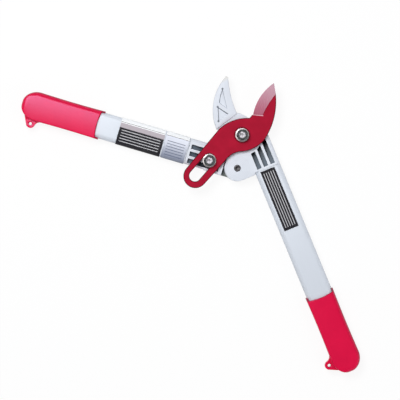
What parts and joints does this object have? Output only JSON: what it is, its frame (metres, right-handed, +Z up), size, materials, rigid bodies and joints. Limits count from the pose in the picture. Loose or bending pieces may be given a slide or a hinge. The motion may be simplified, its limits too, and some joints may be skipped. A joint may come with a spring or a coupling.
{
  "type": "bypass lopper",
  "caption": "Bypass lopper lying open: a fixed hook, a red blade driven through its slotted tail, flat oval aluminium handles and red grips.",
  "frame": {"origin": "on the blade pivot's axis, at the underside of its bolt head, which is the surface that the lopper lies on", "axes": "+Z up along the pivots' axes, from the back to the cutting side; the fixed handle runs along -Y; the hook points along +Y; the blade opens towards +X and the second handle lies towards -X"},
  "size_m": [0.2811, 0.4358, 0.0364],
  "materials": {
    "cast_aluminium": "satin, as die cast and clear coated",
    "satin_aluminium": "satin anodised",
    "bright_steel": "bright zinc plate",
    "dark_steel": "blackened",
    "bronze": "plain turned bronze",
    "nylon": "moulded nylon",
    "red_coating": "satin non-stick coating on steel",
    "fixed_grip": "smooth moulded soft plastic",
    "moving_grip": "smooth moulded soft plastic",
    "dark_film": "satin film",
    "pale_film": "satin film"
  },
  "bodies": {
    "hook_side": {"hook_head": "cast_aluminium", "fixed_tube": "satin_aluminium", "fixed_tube_rivet_1": "bright_steel", "fixed_tube_rivet_2": "bright_steel", "fixed_grip": "fixed_grip", "fixed_label": "dark_film", "blade_pivot_bolt": "bright_steel", "blade_pivot_friction_washer": "bronze", "blade_pivot_washer": "bright_steel", "blade_pivot_nut": "bright_steel", "blade_pivot_nut_insert": "nylon", "handle_pivot_screw": "dark_steel"},
    "moving_handle": {"moving_head": "cast_aluminium", "moving_tube": "satin_aluminium", "moving_tube_rivet_1": "bright_steel", "moving_tube_rivet_2": "bright_steel", "moving_grip": "moving_grip", "moving_pale_label": "pale_film", "moving_dark_label": "dark_film", "slot_bolt": "bright_steel", "slot_friction_washer": "bronze", "slot_washer": "bright_steel", "slot_nut": "bright_steel", "slot_nut_insert": "nylon", "slot_bush": "bronze", "handle_pivot_bush": "bronze"},
    "blade_side": {"blade": "red_coating"}
  },
  "joints": [
    {"name": "handle_pivot", "type": "hinge", "parent": "hook_side", "child": "moving_handle", "pos_m": [-0.0195, -0.033, 0.0105], "axis": [0, 0, 1], "range_deg": [0, 115]},
    {"name": "blade_pivot", "type": "hinge", "parent": "hook_side", "child": "blade_side", "pos_m": [0, 0, 0.023], "axis": [0, 0, 1], "range_deg": [0, 48.9]}
  ],
  "couplings": [
    {"joint": "blade_pivot", "follows": "handle_pivot", "ratio": 0.425}
  ]
}
